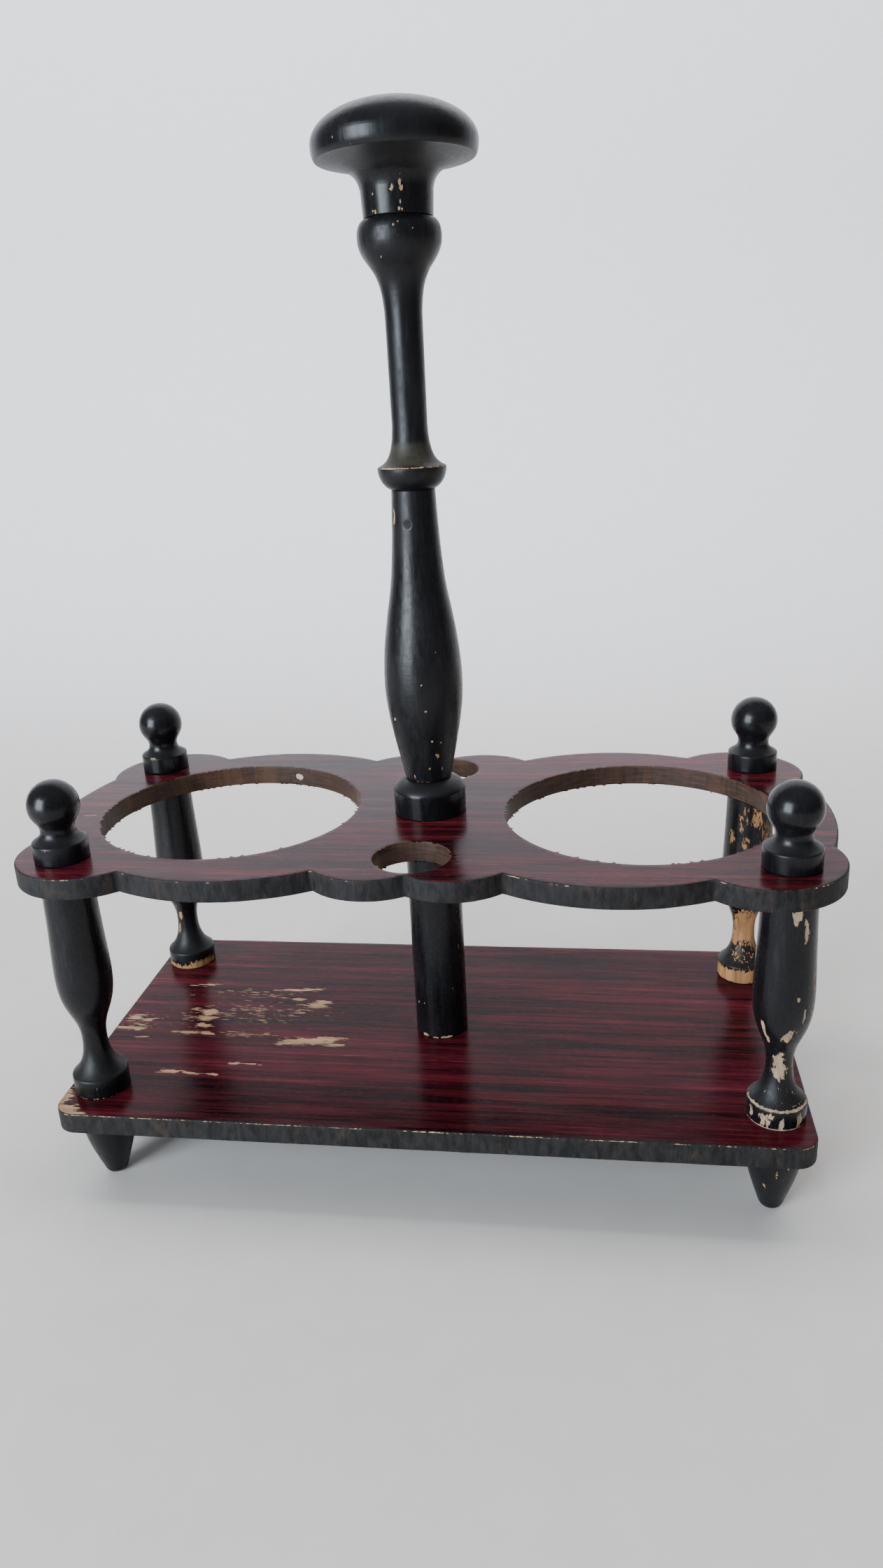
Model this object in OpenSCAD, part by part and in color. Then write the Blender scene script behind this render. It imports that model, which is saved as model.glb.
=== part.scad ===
// Two-bottle table carrier in turned and painted wood.
// A flat base board stands on four turned feet. Four turned posts and a centre column carry a
// scalloped top board with two bottle holes and two small cruet holes. A long turned handle
// rises from the middle. Origin: centre of the footprint, at the tips of the feet. +Z is up,
// X runs along the boards and Y across them. All sizes are in millimetres.

/* [Boards] */
// Length of the base board
base_l = 280; // [276:1:290]
// Width of the base board
base_w = 140; // [136:1:144]
// Corner radius of the base board
base_corner_r = 8; // [2:0.5:14]
// Thickness of the base board
base_t = 8.5; // [6:0.5:12]
// Thickness of the top board
shelf_t = 7.9; // [6:0.1:12]
// Clear height between the boards
post_h = 89; // [84:1:110]

/* [Holes in the top board] */
// Radius of a bottle hole
bottle_hole_r = 51; // [40:0.5:52]
// Distance from the centre to the middle of a bottle hole
bottle_hole_x = 80; // [78:0.5:84]
// Radius of a cruet hole
cruet_hole_r = 13.7; // [8:0.1:14]
// Distance from the centre to the middle of a cruet hole
cruet_hole_y = 46.6; // [44:0.1:47]

/* [Corner posts] */
// Half the spacing of the posts along the boards
corner_x = 127.5; // [126:0.5:129]
// Half the spacing of the posts across the boards
corner_y = 50.5; // [49:0.5:52]
// Radius of a post at its belly
post_r = 10.4; // [9:0.1:12]
// Radius of a post at its waist
waist_r = 4.6; // [3.8:0.1:6]
// Height of a foot
foot_h = 31; // [25:0.5:40]
// Height of a finial
finial_h = 29.6; // [29:0.1:36]
// Radius of the ball on a finial
ball_r = 9.2; // [8:0.1:10]

/* [Handle] */
// Radius of the column between the boards
column_r = 10.6; // [9:0.1:12]
// Radius of the collar on the top board
collar_r = 13.8; // [12:0.1:16]
// Radius of the grip at its thickest
grip_r = 14.5; // [13:0.1:17]
// Radius of the handle at its thinnest
shaft_r = 6.2; // [5.5:0.1:7]
// Radius of the knob
knob_r = 27; // [24:0.5:28]

/* [Joints] */
// Radius of the tenons on a corner post
tenon_r = 4.5; // [3.5:0.1:5]
// Glue gap round every tenon and dowel
glue_gap = 0.1; // [0.05:0.01:0.2]

/* [Hidden] */
CORNERS = [
    ["front_left", -1, -1],
    ["front_right", 1, -1],
    ["back_left", -1, 1],
    ["back_right", 1, 1]
];

$fn = 96;

// Heights of the main levels
base_z = foot_h;
base_top_z = base_z + base_t;
shelf_z = base_top_z + post_h;
shelf_top_z = shelf_z + shelf_t;

// Scalloped outline of the top board, given for the corner where X and Y are positive
CORNER_LOBE = [120.5, 44];
corner_lobe_r = 26;
SIDE_LOBE = [70, 0];
side_lobe_r = 70;
END_ARC = [40, 0];
end_arc_r = 110;
CENTRE_LOBE = [14.5, 42.3];
centre_lobe_r = 25;
cove_r = 6;

// Joints: every tenon reaches tenon_l into its socket
tenon_l = 9;
socket_extra = 0.5;
cut = 1;

// Handle levels, measured up from the top face of the top board
collar_band_h = 9.8;
collar_h = 13.6;
ring_h = 120.4;
bead_top_h = 205.6;
rim_h = 222.6;
knob_top_h = 239.4;
column_tenon_r = 7;
column_tenon_l = 4;
dowel_r = 4;
dowel_drop = 25;
dowel_rise = 30;
shaft_tenon_r = 3.8;
shaft_tenon_l = 28;
knob_dowel_r = 4;
knob_dowel_half = 12;

// Countersunk screw up through the base board, and the brad that locks the shaft
screw_head_r = 4.2;
screw_head_h = 3;
screw_r = 2;
screw_l = 38;
slot_w = 1;
slot_d = 0.9;
brad_r = 0.7;
brad_head_r = 1.3;
brad_head_h = 0.8;
brad_l = 8;
brad_drop = 11.5;
brad_azimuth = -100;
brad_surface_r = 8.2;

// Points of a cubic curve from a to d with handles b and c, without its first point
function curve(a, b, c, d, n = 10) = [
    for (i = [1:n])
        let (t = i / n, u = 1 - t)
            u * u * u * a + 3 * u * u * t * b + 3 * u * t * t * c + t * t * t * d
];

// Upper crossing of two circles
function crossing(p, rp, q, rq) =
    let (
        d = norm(q - p),
        a = (rp * rp - rq * rq + d * d) / (2 * d),
        h = sqrt(rp * rp - a * a),
        u = (q - p) / d
    )
    p + a * u + h * [-u[1], u[0]];

// A turned solid from its half outline of [radius, height] points
module turned(outline) {
    rotate_extrude() polygon(outline);
}

// A round hole or socket with its glue gap, upwards from z = 0
module socket(r, depth) {
    translate([0, 0, -cut]) cylinder(r = r + glue_gap, h = depth + socket_extra + cut);
}

module at_corner(corner, z) {
    translate([corner[1] * corner_x, corner[2] * corner_y, z]) children();
}

module at_all_corners(z) {
    for (corner = CORNERS) at_corner(corner, z) children();
}

// Repeats its children in all four quarters of the board
module quarters() {
    for (sx = [0, 1], sy = [0, 1])
        mirror([sx, 0, 0]) mirror([0, sy, 0]) children();
}

// Rounded valley between a centre lobe and a side lobe
module cove() {
    valley = crossing(
        SIDE_LOBE, side_lobe_r + cove_r,
        CENTRE_LOBE, centre_lobe_r + cove_r
    );
    difference() {
        polygon([CENTRE_LOBE, SIDE_LOBE, valley]);
        translate(valley) circle(r = cove_r);
    }
}

module scalloped_outline() {
    square([2 * SIDE_LOBE[0], 110], center = true);
    quarters() {
        translate(CENTRE_LOBE) circle(r = centre_lobe_r);
        translate(CORNER_LOBE) circle(r = corner_lobe_r);
        cove();
    }
    for (side = [-1, 1]) {
        translate([side * SIDE_LOBE[0], 0]) circle(r = side_lobe_r);
        intersection() {
            translate([side * END_ARC[0], 0]) circle(r = end_arc_r);
            translate([side * 120, 0]) square([100, 2 * CORNER_LOBE[1]], center = true);
        }
    }
}

module rounded_outline(l, w, r) {
    square([l - 2 * r, w], center = true);
    square([l, w - 2 * r], center = true);
    for (sx = [-1, 1], sy = [-1, 1])
        translate([sx * (l / 2 - r), sy * (w / 2 - r)]) circle(r = r);
}

module base_board() {
    color("#4a1219") difference() {
        translate([0, 0, base_z])
            linear_extrude(base_t) rounded_outline(base_l, base_w, base_corner_r);
        at_all_corners(base_z - cut)
            cylinder(r = tenon_r + glue_gap, h = base_t + 2 * cut);
        translate([0, 0, base_z - cut])
            cylinder(r = screw_r + glue_gap, h = base_t + 2 * cut);
        translate([0, 0, base_z]) screw_head_cone(glue_gap);
    }
}

module top_board() {
    color("#55161e") difference() {
        translate([0, 0, shelf_z]) linear_extrude(shelf_t) scalloped_outline();
        translate([0, 0, shelf_z - cut]) {
            for (side = [-1, 1]) {
                translate([side * bottle_hole_x, 0, 0])
                    cylinder(r = bottle_hole_r, h = shelf_t + 2 * cut);
                translate([0, side * cruet_hole_y, 0])
                    cylinder(r = cruet_hole_r, h = shelf_t + 2 * cut);
            }
            cylinder(r = column_tenon_r + glue_gap, h = shelf_t + 2 * cut);
        }
        at_all_corners(shelf_z - cut)
            cylinder(r = tenon_r + glue_gap, h = shelf_t + 2 * cut);
    }
}

// Corner post with a flared disc below, a narrow waist and a long belly, and a tenon at each end
module post() {
    disc_r = post_r;
    disc_h = 7.6;
    top_r = post_r - 1.1;
    edge = 0.4;
    foot_tenon = -base_t - tenon_l;
    head_tenon = post_h + shelf_t + tenon_l;
    waist_z = 22.5;
    belly_z = 50;
    color("#16171b") turned(concat(
        [
            [0, foot_tenon],
            [tenon_r, foot_tenon],
            [tenon_r, 0],
            [disc_r - edge, 0],
            [disc_r, edge],
            [disc_r, disc_h - edge],
            [disc_r - edge, disc_h]
        ],
        curve([disc_r - edge, disc_h], [6.6, 10.6], [waist_r, 14.5], [waist_r, waist_z]),
        curve([waist_r, waist_z], [waist_r, 33], [post_r, 34], [post_r, belly_z], 14),
        curve([post_r, belly_z], [post_r, 58], [top_r + 0.2, 68], [top_r, post_h], 8),
        [
            [tenon_r, post_h],
            [tenon_r, head_tenon],
            [0, head_tenon]
        ]
    ));
}

// Finial: a straight band, a hollow shoulder and a pear-shaped ball, with a blind socket below
module finial() {
    band_r = post_r - 0.6;
    band_h = 7.2;
    edge = 0.5;
    neck_r = 6.1;
    neck_z = 11.6;
    ball_z = finial_h - ball_r;
    color("#17181c") difference() {
        turned(concat(
            [
                [0, 0],
                [band_r - 0.2, 0],
                [band_r, 0.3],
                [band_r, band_h - edge],
                [band_r - edge, band_h]
            ],
            curve([band_r - edge, band_h], [7.4, 8.4], [neck_r, 9.2], [neck_r, neck_z], 8),
            curve([neck_r, neck_z], [neck_r, 14.6], [ball_r, 15.6], [ball_r, ball_z], 10),
            curve(
                [ball_r, ball_z], [ball_r, ball_z + ball_r * 0.56],
                [ball_r * 0.56, finial_h], [0, finial_h], 12
            )
        ));
        socket(tenon_r, tenon_l);
    }
}

// Foot: a bullet that narrows to a small flat tip, with a blind socket above
module foot() {
    top_r = post_r + 0.4;
    tip_r = 2;
    nose = [4.9, 3.2];
    color("#141518") difference() {
        turned(concat(
            [
                [0, 0],
                [tip_r, 0]
            ],
            curve([tip_r, 0], [3.6, 0.2], [4.3, 1.3], nose, 6),
            curve(nose, [7, 9.9], [top_r, 19.5], [top_r, foot_h], 12),
            [[0, foot_h]]
        ));
        translate([0, 0, foot_h]) mirror([0, 0, 1]) socket(tenon_r, tenon_l);
    }
}

// Plain column between the boards, with a tenon up through the top board
module column() {
    tenon_top = shelf_top_z + column_tenon_l;
    edge = 0.4;
    color("#17181c") difference() {
        turned([
            [0, base_top_z],
            [column_r - edge, base_top_z],
            [column_r, base_top_z + edge],
            [column_r, shelf_z - edge],
            [column_r - edge, shelf_z],
            [column_tenon_r, shelf_z],
            [column_tenon_r, tenon_top],
            [0, tenon_top]
        ]);
        translate([0, 0, base_top_z - cut])
            cylinder(r = screw_r + glue_gap, h = screw_l - base_t + socket_extra + cut);
        translate([0, 0, shelf_top_z - dowel_drop - socket_extra])
            cylinder(r = dowel_r + glue_gap, h = dowel_drop + column_tenon_l + 2 * cut);
    }
}

module collar() {
    edge = 0.6;
    shoulder_r = 8.8;
    color("#141519") translate([0, 0, shelf_top_z]) difference() {
        turned(concat(
            [
                [0, 0],
                [collar_r - 0.2, 0],
                [collar_r, 0.3],
                [collar_r, collar_band_h - edge]
            ],
            curve(
                [collar_r, collar_band_h - edge], [collar_r, collar_band_h + 1],
                [shoulder_r + 3, collar_h - 1], [shoulder_r, collar_h], 8
            ),
            [[0, collar_h]]
        ));
        socket(column_tenon_r, column_tenon_l);
        cylinder(r = dowel_r + glue_gap, h = collar_h + cut);
    }
}

// Lower handle: a long bulb that tapers up to the ring
module grip() {
    bottom_r = 8.6;
    belly_z = 51.5;
    middle = [10.65, 83.5];
    top_r = 7.75;
    color("#15161b") translate([0, 0, shelf_top_z]) difference() {
        turned(concat(
            [
                [0, collar_h],
                [bottom_r, collar_h]
            ],
            curve([bottom_r, collar_h], [11.5, 28], [grip_r, 39.6], [grip_r, belly_z], 12),
            curve([grip_r, belly_z], [grip_r, 63.5], [12.1, 75.5], middle, 10),
            curve(middle, [9.2, 91.5], [8.4, 103.5], [top_r, ring_h], 10),
            [[0, ring_h]]
        ));
        translate([0, 0, collar_h - cut])
            cylinder(r = dowel_r + glue_gap, h = dowel_rise - collar_h + socket_extra + cut);
        translate([0, 0, ring_h - shaft_tenon_l - socket_extra])
            cylinder(r = shaft_tenon_r + glue_gap, h = shaft_tenon_l + socket_extra + cut);
        brad_hole();
    }
}

// Upper handle: a tenon, the ring, the thin shaft and the bead below the knob
module shaft() {
    seat_r = 7.9;
    ring_r = 12.1;
    rim_low_h = ring_h + 6.4;
    rim_high_h = ring_h + 7.7;
    bead_r = 14;
    bead_h = bead_top_h - 5.4;
    bead_low = [10.4, bead_top_h - 14];
    flare_low = [shaft_r + 0.15, bead_top_h - 32];
    top_r = 11.5;
    tenon_z = ring_h - shaft_tenon_l;
    color("#16171c") translate([0, 0, shelf_top_z]) difference() {
        turned(concat(
            [
                [0, tenon_z],
                [shaft_tenon_r, tenon_z],
                [shaft_tenon_r, ring_h],
                [seat_r, ring_h]
            ],
            curve(
                [seat_r, ring_h], [10, ring_h + 1],
                [11.7, ring_h + 3.4], [ring_r, rim_low_h], 8
            ),
            [[ring_r, rim_high_h]],
            curve(
                [ring_r, rim_high_h], [8.2, rim_high_h + 1.4],
                [6.5, rim_high_h + 4.8], [shaft_r, rim_high_h + 14], 10
            ),
            [flare_low],
            curve(
                flare_low, [6.4, bead_top_h - 22.2],
                [7.6, bead_top_h - 17.8], bead_low, 10
            ),
            curve(
                bead_low, [13.2, bead_top_h - 10.4],
                [bead_r, bead_h - 3], [bead_r, bead_h], 8
            ),
            curve(
                [bead_r, bead_h], [bead_r, bead_h + 2.9],
                [13, bead_top_h - 0.7], [top_r, bead_top_h], 6
            ),
            [[0, bead_top_h]]
        ));
        translate([0, 0, bead_top_h - knob_dowel_half - socket_extra])
            cylinder(r = knob_dowel_r + glue_gap, h = knob_dowel_half + socket_extra + cut);
        brad_hole();
    }
}

// Mushroom knob with its neck
module knob() {
    neck_r = 11.5;
    flare = [neck_r + 0.4, rim_h - 8.9];
    rim_r = knob_r - 1.1;
    widest_h = rim_h + 4.2;
    color("#17181b") translate([0, 0, shelf_top_z]) difference() {
        turned(concat(
            [
                [0, bead_top_h],
                [neck_r, bead_top_h],
                flare
            ],
            curve(flare, [12.8, rim_h - 2.4], [18.6, rim_h - 1.6], [rim_r, rim_h], 12),
            curve(
                [rim_r, rim_h], [knob_r - 0.4, rim_h + 1],
                [knob_r, rim_h + 2.4], [knob_r, widest_h], 6
            ),
            curve(
                [knob_r, widest_h], [knob_r, widest_h + 7],
                [15.5, knob_top_h], [0, knob_top_h], 18
            )
        ));
        translate([0, 0, bead_top_h - cut])
            cylinder(r = knob_dowel_r + glue_gap, h = knob_dowel_half + socket_extra + cut);
    }
}

module screw_head_cone(gap) {
    cylinder(r1 = screw_head_r + gap, r2 = screw_r + gap, h = screw_head_h);
}

module column_screw() {
    color("#8c8a84") translate([0, 0, base_z]) difference() {
        union() {
            screw_head_cone(0);
            cylinder(r = screw_r, h = screw_l);
        }
        translate([-screw_head_r - cut, -slot_w / 2, -cut])
            cube([2 * (screw_head_r + cut), slot_w, slot_d + cut]);
    }
}

module handle_dowel() {
    color("#c39a63") translate([0, 0, shelf_top_z - dowel_drop])
        cylinder(r = dowel_r, h = dowel_drop + dowel_rise);
}

module knob_dowel() {
    color("#c39a63") translate([0, 0, shelf_top_z + bead_top_h - knob_dowel_half])
        cylinder(r = knob_dowel_r, h = 2 * knob_dowel_half);
}

// Places its children on the axis of the brad, with +Z pointing out of the grip
module on_brad_axis() {
    translate([0, 0, ring_h - brad_drop])
        rotate([0, 0, brad_azimuth]) rotate([0, 90, 0]) children();
}

module brad_hole() {
    on_brad_axis() {
        translate([0, 0, brad_surface_r - brad_l])
            cylinder(r = brad_r + glue_gap / 2, h = brad_l + cut);
        translate([0, 0, brad_surface_r - brad_head_h])
            cylinder(r = brad_head_r + glue_gap / 2, h = brad_head_h + cut);
    }
}

module shaft_brad() {
    color("#55565c") translate([0, 0, shelf_top_z]) on_brad_axis() {
        translate([0, 0, brad_surface_r - brad_l + glue_gap])
            cylinder(r = brad_r, h = brad_l - 2 * glue_gap);
        translate([0, 0, brad_surface_r - brad_head_h])
            cylinder(r = brad_head_r, h = brad_head_h);
    }
}

base_board();
top_board();
column();
collar();
grip();
shaft();
knob();
column_screw();
handle_dowel();
knob_dowel();
shaft_brad();
for (corner = CORNERS) {
    at_corner(corner, base_top_z) post();
    at_corner(corner, shelf_top_z) finial();
    at_corner(corner, 0) foot();
}
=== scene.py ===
import math
import random

import bpy
from mathutils import Matrix, Vector, kdtree, noise
from mathutils.geometry import delaunay_2d_cdt


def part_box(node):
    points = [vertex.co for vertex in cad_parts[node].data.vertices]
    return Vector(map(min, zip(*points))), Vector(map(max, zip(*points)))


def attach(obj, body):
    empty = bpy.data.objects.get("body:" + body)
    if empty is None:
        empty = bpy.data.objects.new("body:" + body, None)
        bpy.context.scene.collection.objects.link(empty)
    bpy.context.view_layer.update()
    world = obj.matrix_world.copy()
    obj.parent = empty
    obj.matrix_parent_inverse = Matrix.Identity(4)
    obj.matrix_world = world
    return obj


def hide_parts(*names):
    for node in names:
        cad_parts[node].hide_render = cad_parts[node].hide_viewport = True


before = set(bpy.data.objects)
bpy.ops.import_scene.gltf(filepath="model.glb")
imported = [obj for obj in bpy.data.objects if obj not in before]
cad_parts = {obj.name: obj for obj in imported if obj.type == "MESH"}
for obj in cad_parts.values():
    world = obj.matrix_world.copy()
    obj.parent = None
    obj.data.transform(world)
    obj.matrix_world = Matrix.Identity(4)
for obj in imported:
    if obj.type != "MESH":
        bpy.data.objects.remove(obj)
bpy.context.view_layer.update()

# A two-bottle table carrier in turned black wood with two red lacquered boards.
# Profiles and wear marks are in millimetres; mesh vertices are in metres, in the CAD frame.
# A turn is an angle in degrees about a vertical axis: 0 faces -Y, the front, and 90 faces +X.

MM = 0.001
CORNERS = ("front_left", "front_right", "back_left", "back_right")
EDGE = 0.5  # usual rounding of a turned edge
RING_STEP = 0.6  # most that two rings of a turned piece are apart
HANDLE_STEP = 0.42  # the same on the handle and the column
SEGMENTS = 144


# ---------------------------------------------------------------- profiles

def curve(a, b, c, d, n=24):
    """Points of a cubic curve from a to d with handles b and c, without its first point."""
    points = []
    for i in range(1, n + 1):
        t = i / n
        u = 1 - t
        points.append(tuple(
            u ** 3 * a[k] + 3 * u * u * t * b[k] + 3 * u * t * t * c[k] + t ** 3 * d[k]
            for k in (0, 1)
        ))
    return points


def soft_corner(before, corner, after, size=EDGE, n=5):
    """A rounded corner of that size, on the way from the point before to the point after."""
    at = Vector(corner)
    a = at + (Vector(before) - at).normalized() * size
    b = at + (Vector(after) - at).normalized() * size
    return [tuple(a)] + curve(a, a.lerp(at, 0.55), b.lerp(at, 0.55), b, n)


def socket_below(radius, depth):
    """A blind socket that opens downwards at height 0."""
    return [(0, depth), (radius, depth), (radius, 0)]


TENON_R = 4.5
GAP = 0.1
BASE_LOW, BASE_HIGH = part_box("base_board")
SHELF_LOW, SHELF_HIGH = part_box("top_board")
POST_H = (SHELF_LOW.z - BASE_HIGH.z) / MM
BASE_T = (BASE_HIGH.z - BASE_LOW.z) / MM
SHELF_T = (SHELF_HIGH.z - SHELF_LOW.z) / MM
TENON_L = 9
HIDDEN_R = 4.61  # surfaces nearer the axis than this are inside joints


def post_profile():
    """Corner post from the top face of the base board: disc, flare, waist, belly, tenons."""
    top = (9.3, POST_H)
    return (
        [(0, -BASE_T - TENON_L), (TENON_R, -BASE_T - TENON_L), (TENON_R, 0)]
        + soft_corner((TENON_R, 0), (10.4, 0), (10.4, 7.6), 0.4)
        + soft_corner((10.4, 0), (10.4, 7.6), (9.6, 8.0), 0.5)
        + curve((9.95, 7.8), (6.6, 10.6), (4.63, 14.5), (4.63, 22.5), 30)
        + curve((4.63, 22.5), (4.63, 33), (10.4, 34), (10.4, 50), 50)
        + curve((10.4, 50), (10.4, 58), (9.5, 68), top, 60)
        + [(TENON_R, POST_H), (TENON_R, POST_H + SHELF_T + TENON_L)]
        + [(0, POST_H + SHELF_T + TENON_L)]
    )


def finial_profile():
    """Finial from the top face of the top board, with its socket."""
    return (
        socket_below(TENON_R + GAP, TENON_L + 0.5)
        + soft_corner((TENON_R, 0), (9.8, 0), (9.8, 7.2), 0.4)
        + soft_corner((9.8, 0), (9.8, 7.2), (9.0, 7.35), 0.6)
        + curve((9.2, 7.3), (7.4, 8.4), (6.1, 9.2), (6.1, 11.6), 16)
        + curve((6.1, 11.6), (6.1, 14.6), (9.2, 15.6), (9.2, 20.4), 24)
        + curve((9.2, 20.4), (9.2, 25.55), (5.15, 29.6), (0, 29.6), 34)
    )


def foot_profile():
    """Foot from the floor up, with its socket above."""
    top = BASE_LOW.z / MM
    return (
        [(0, 0), (2, 0)]
        + curve((2, 0), (3.6, 0.2), (4.3, 1.3), (4.9, 3.2), 12)
        + curve((4.9, 3.2), (7, 9.9), (10.8, 19.5), (10.8, top), 50)
        + [(TENON_R + GAP, top), (TENON_R + GAP, top - TENON_L - 0.5), (0, top - TENON_L - 0.5)]
    )


def column_profile():
    """Column from the top face of the base board, with its tenon through the top board."""
    tenon_top = POST_H + SHELF_T + 4
    return (
        [(0, 0)]
        + soft_corner((0, 0), (10.6, 0), (10.6, POST_H), 0.5)
        + soft_corner((10.6, 0), (10.6, POST_H), (7, POST_H), 0.4)
        + [(7, POST_H), (7, tenon_top), (0, tenon_top)]
    )


def collar_profile():
    """Collar from the top face of the top board, bored for the dowel."""
    return (
        [(4.1, 13.6), (4.1, 4.5), (7.1, 4.5), (7.1, 0)]
        + soft_corner((7, 0), (13.8, 0), (13.8, 9), 0.4)
        + soft_corner((13.8, 0), (13.8, 9.6), (12.9, 11.2), 0.7)
        + curve((13.45, 10.2), (12.9, 11.2), (11.4, 12.8), (8.8, 13.6), 12)
        + [(4.1, 13.6)]
    )


def grip_profile():
    """Lower handle from the top face of the top board up to the ring."""
    return (
        [(0, 30.5), (4.1, 30.5), (4.1, 13.6)]
        + soft_corner((4, 13.6), (8.6, 13.6), (9.4, 18), 0.5)
        + curve((8.7, 14.1), (11.5, 28), (14.5, 39.6), (14.5, 51.5), 60)
        + curve((14.5, 51.5), (14.5, 63.5), (12.1, 75.5), (10.65, 83.5), 50)
        + curve((10.65, 83.5), (9.2, 91.5), (8.4, 103.5), (7.75, 120), 60)
        + [(7.6, 120.4), (3.9, 120.4), (3.9, 91.9), (0, 91.9)]
    )


def shaft_profile():
    """Upper handle: tenon, ring, thin shaft and the bead below the knob."""
    return (
        [(0, 92.4), (3.8, 92.4), (3.8, 120.4), (7.7, 120.4)]
        + curve((7.9, 120.6), (10, 121.4), (11.7, 123.8), (12.1, 126.8), 16)
        + soft_corner((12.1, 126), (12.15, 128.1), (11.2, 128.5), 0.45)
        + curve((11.6, 128.35), (8.2, 129.8), (6.5, 132.9), (6.2, 142.1), 30)
        + [(6.35, 173.6)]
        + curve((6.35, 173.6), (6.4, 183.4), (7.6, 187.8), (10.4, 191.6), 40)
        + curve((10.4, 191.6), (13.2, 195.2), (14, 197.2), (14, 200.2), 20)
        + curve((14, 200.2), (14, 203.1), (13, 204.9), (11.6, 205.4), 16)
        + [(11.2, 205.6), (4.1, 205.6), (4.1, 193.1), (0, 193.1)]
    )


def knob_profile():
    """Mushroom knob with its neck, bored for the dowel."""
    return (
        [(0, 218.1), (4.1, 218.1), (4.1, 205.6)]
        + soft_corner((4, 205.6), (11.5, 205.6), (11.6, 213), 0.4)
        + [(11.9, 213.7)]
        + curve((11.9, 213.7), (12.8, 220.2), (18.6, 221), (25.4, 222.5), 30)
        + soft_corner((25, 222.4), (26.1, 222.6), (26.8, 224.6), 0.6)
        + curve((26.4, 223.3), (26.8, 224.2), (27, 225.4), (27, 226.8), 8)
        + curve((27, 226.8), (27, 233.8), (15.5, 239.4), (0, 239.4), 70)
    )


def spaced(outline, step):
    """The outline with long straight stretches cut into steps."""
    points = [outline[0]]
    for a, b in zip(outline, outline[1:]):
        length = math.dist(a, b)
        if length < 1e-6:
            continue
        count = max(1, math.ceil(length / step))
        points += [
            (a[0] + (b[0] - a[0]) * i / count, a[1] + (b[1] - a[1]) * i / count)
            for i in range(1, count + 1)
        ]
    return points


# ---------------------------------------------------------------- wear

WORN_LOW, WORN_HIGH = 0.38, 0.6  # a patch starts to sink at the first level, and is full depth at the second
PAINT_DEPTH = 0.14  # how far bare wood lies below the paint of a turned piece, in mm
LACQUER_DEPTH = 0.12  # the same on a board
TURNED_RAGGED = 0.14  # how much noise breaks up the outline of a patch on a turned piece
BOARD_RAGGED = 0.22  # the same on a board
LEAST_LEVEL = 0.02  # below this there is no wear worth breaking up


def fade(value, low, high):
    """0 below low, 1 above high, and smooth between them."""
    t = min(1, max(0, (value - low) / (high - low)))
    return t * t * (3 - 2 * t)


def patch_level(patches, across, along):
    """1 inside a worn patch, 0.5 on its edge and 0 well away. across(patch) is in mm."""
    level = 0
    for patch in patches:
        x = across(patch) / patch[2]
        y = (along - patch[1]) / patch[3]
        strength = patch[4] if len(patch) > 4 else 1
        level = max(level, strength * math.exp(-0.7 * (x * x + y * y)))
    return level


def ragged(point, stretch, size, seed):
    """Noise from about -1 to 1 with features of that size in mm, longer along stretch."""
    p = Vector((point[0] / stretch[0], point[1] / stretch[1], point[2] / stretch[2])) / size
    return noise.fractal(p + Vector((seed * 7.3, seed * 3.1, seed * 5.7)), 1.0, 2.0, 3)


# Worn patches on turned pieces: (turn, height, half width, half height[, strength]).
POST_WEAR = {
    "front_left": [
        (20, 0.3, 12, 0.3, 0.55), (-60, 0.5, 8, 0.3, 0.55), (150, 3, 6, 1.5), (200, 24, 3, 5, 0.9),
    ],
    "front_right": [
        (6, 82.5, 1.5, 2.6), (12, 84.5, 1.2, 1.6, 0.9), (29, 76.5, 0.9, 3.4), (26, 80, 0.6, 2, 0.8),
        (60, 58, 0.5, 4.4, 0.75), (58, 47, 0.6, 4, 0.65), (34, 45.5, 0.6, 3.8, 0.7),
        (18, 52, 0.5, 1.2, 0.75), (-50, 38.5, 0.8, 3.2), (-44, 34, 0.6, 1.8),
        (4, 36.6, 2.0, 2.0), (10, 38, 2.6, 3, 0.5), (-14, 24.5, 1.9, 3.6), (-8, 20.5, 2.3, 3.0),
        (66, 23, 0.8, 2.2), (-10, 12, 10, 4, 0.30), (40, 9, 6, 1.5, 0.34),
        (-40, 7.75, 12, 0.32), (40, 7.75, 10, 0.36), (0, 0.3, 16, 0.4),
        (-64, 4.2, 1.0, 2.4, 0.8), (-30, 3.4, 2.6, 2.6, 0.74), (-20, 5.4, 1.8, 1.2, 0.8),
        (2, 3.0, 0.9, 2.6, 0.9), (40, 3.4, 1.2, 3.2, 0.9), (150, 40, 2, 6),
    ],
    "back_left": [
        (-18, 25.5, 1.0, 2.2, 0.95), (-36, 19, 1.0, 2.4, 0.9), (-25, 28, 2, 5, 0.4),
        (-40, 1.0, 9, 1.5, 0.9), (10, 0.8, 9, 1.2, 0.9), (48, 1.6, 8, 2.2, 0.9),
        (150, 62, 2, 6, 0.9),
    ],
    "back_right": [
        (12, 77, 3.0, 5, 0.66), (4, 80, 5, 7, 0.5), (-26, 74, 1.3, 4, 0.66), (-50, 68, 1.6, 4, 0.7),
        (-14, 66, 2.2, 3.4, 0.62), (-16, 79, 4, 6, 0.44), (40, 70, 4, 9, 0.5), (10, 58, 8, 8, 0.36),
        (70, 60, 3, 12, 0.8), (0, 42, 6, 6, 0.4),
        (0, 25, 7, 8.5), (60, 24, 6, 9), (-50, 20, 3, 4), (0, 12, 9, 4, 0.44),
        (-20, 3, 30, 3.2), (70, 3, 30, 3.4), (160, 2, 20, 2.0),
    ],
}
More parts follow.
